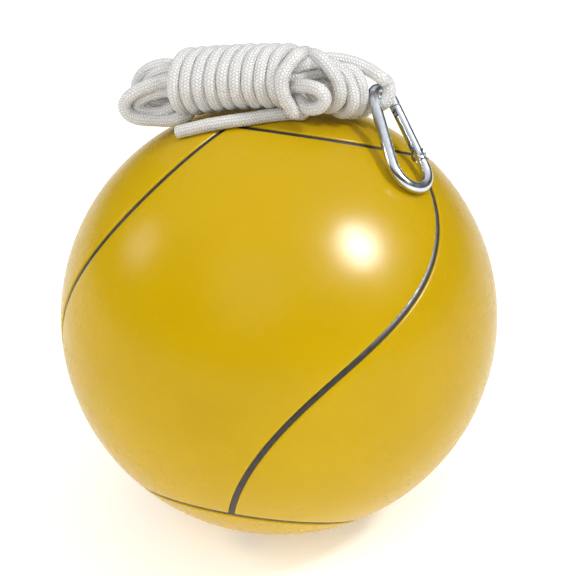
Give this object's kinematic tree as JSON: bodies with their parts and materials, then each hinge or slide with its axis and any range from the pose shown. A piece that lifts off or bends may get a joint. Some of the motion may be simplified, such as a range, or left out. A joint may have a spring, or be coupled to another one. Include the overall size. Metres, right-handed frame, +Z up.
{
  "type": "tetherball set",
  "caption": "Inflated yellow rubber tetherball with a recessed rope anchor, a braided white rope wrapped into a hank on top, and a spring-gate snap hook held in the rope.",
  "frame": {"origin": "the ball's lowest point, where it touches the ground", "axes": "+Z up, -Y the front of the set, +X to the right with the snap hook on the right and the rope's free end on the left"},
  "size_m": [0.2196, 0.2199, 0.2569],
  "materials": {
    "yellow_rubber": "smooth semi-gloss",
    "black_rubber": "satin",
    "inner_rubber": "matt",
    "winding_nylon": "matt yarn",
    "bladder_rubber": "matt",
    "anchor_rubber": "matt",
    "rope_nylon": "braided, matt",
    "plated_steel": "bright zinc plate",
    "spring_steel": "drawn wire"
  },
  "bodies": {
    "ball": {"cover_cap_top": "yellow_rubber", "cover_cap_bottom": "yellow_rubber", "cover_side_1": "yellow_rubber", "cover_side_2": "yellow_rubber", "cover_side_3": "yellow_rubber", "cover_side_4": "yellow_rubber", "seam_strip_1": "black_rubber", "seam_strip_2": "black_rubber", "seam_strip_3": "black_rubber", "seam_strip_4": "black_rubber", "seam_ring_top": "black_rubber", "seam_ring_bottom": "black_rubber", "valve_core": "black_rubber", "carcass": "inner_rubber", "nylon_winding": "winding_nylon", "bladder": "bladder_rubber", "anchor_cup": "anchor_rubber", "valve_housing": "anchor_rubber", "anchor_bar": "plated_steel"},
    "rope": {"rope_hank": "rope_nylon", "rope_tail": "rope_nylon", "rope_clip_bight": "rope_nylon"},
    "snap_hook": {"hook_body": "plated_steel", "gate_rivet": "plated_steel"},
    "gate": {"hook_gate": "plated_steel", "latch_pin": "plated_steel", "gate_spring": "spring_steel"},
    "plunger": {"gate_plunger": "spring_steel"}
  },
  "joints": [
    {"name": "hank_lift", "type": "slide", "parent": "ball", "child": "rope", "axis": [0, 0, 1], "range_m": [0, 0.15]},
    {"name": "clip_swing", "type": "hinge", "parent": "rope", "child": "snap_hook", "pos_m": [0.048, 0.0015, 0.2303], "axis": [-0.7551, -0.584, 0.2981], "range_deg": [0, 44]},
    {"name": "gate_pivot", "type": "hinge", "parent": "snap_hook", "child": "gate", "pos_m": [0.06627, -0.01835, 0.20449], "axis": [0.583, -0.39, 0.7127], "range_deg": [0, 16], "stiffness_Nm_per_rad": 0.1, "springref_deg": -57.3, "deforming": ["gate_spring"]},
    {"name": "plunger_slide", "type": "slide", "parent": "gate", "child": "plunger", "axis": [-0.3884, 0.6367, 0.6661], "range_m": [0, 0.00051]}
  ],
  "couplings": [
    {"joint": "plunger_slide", "follows": "gate_pivot", "m_per_rad": 0.0018}
  ]
}
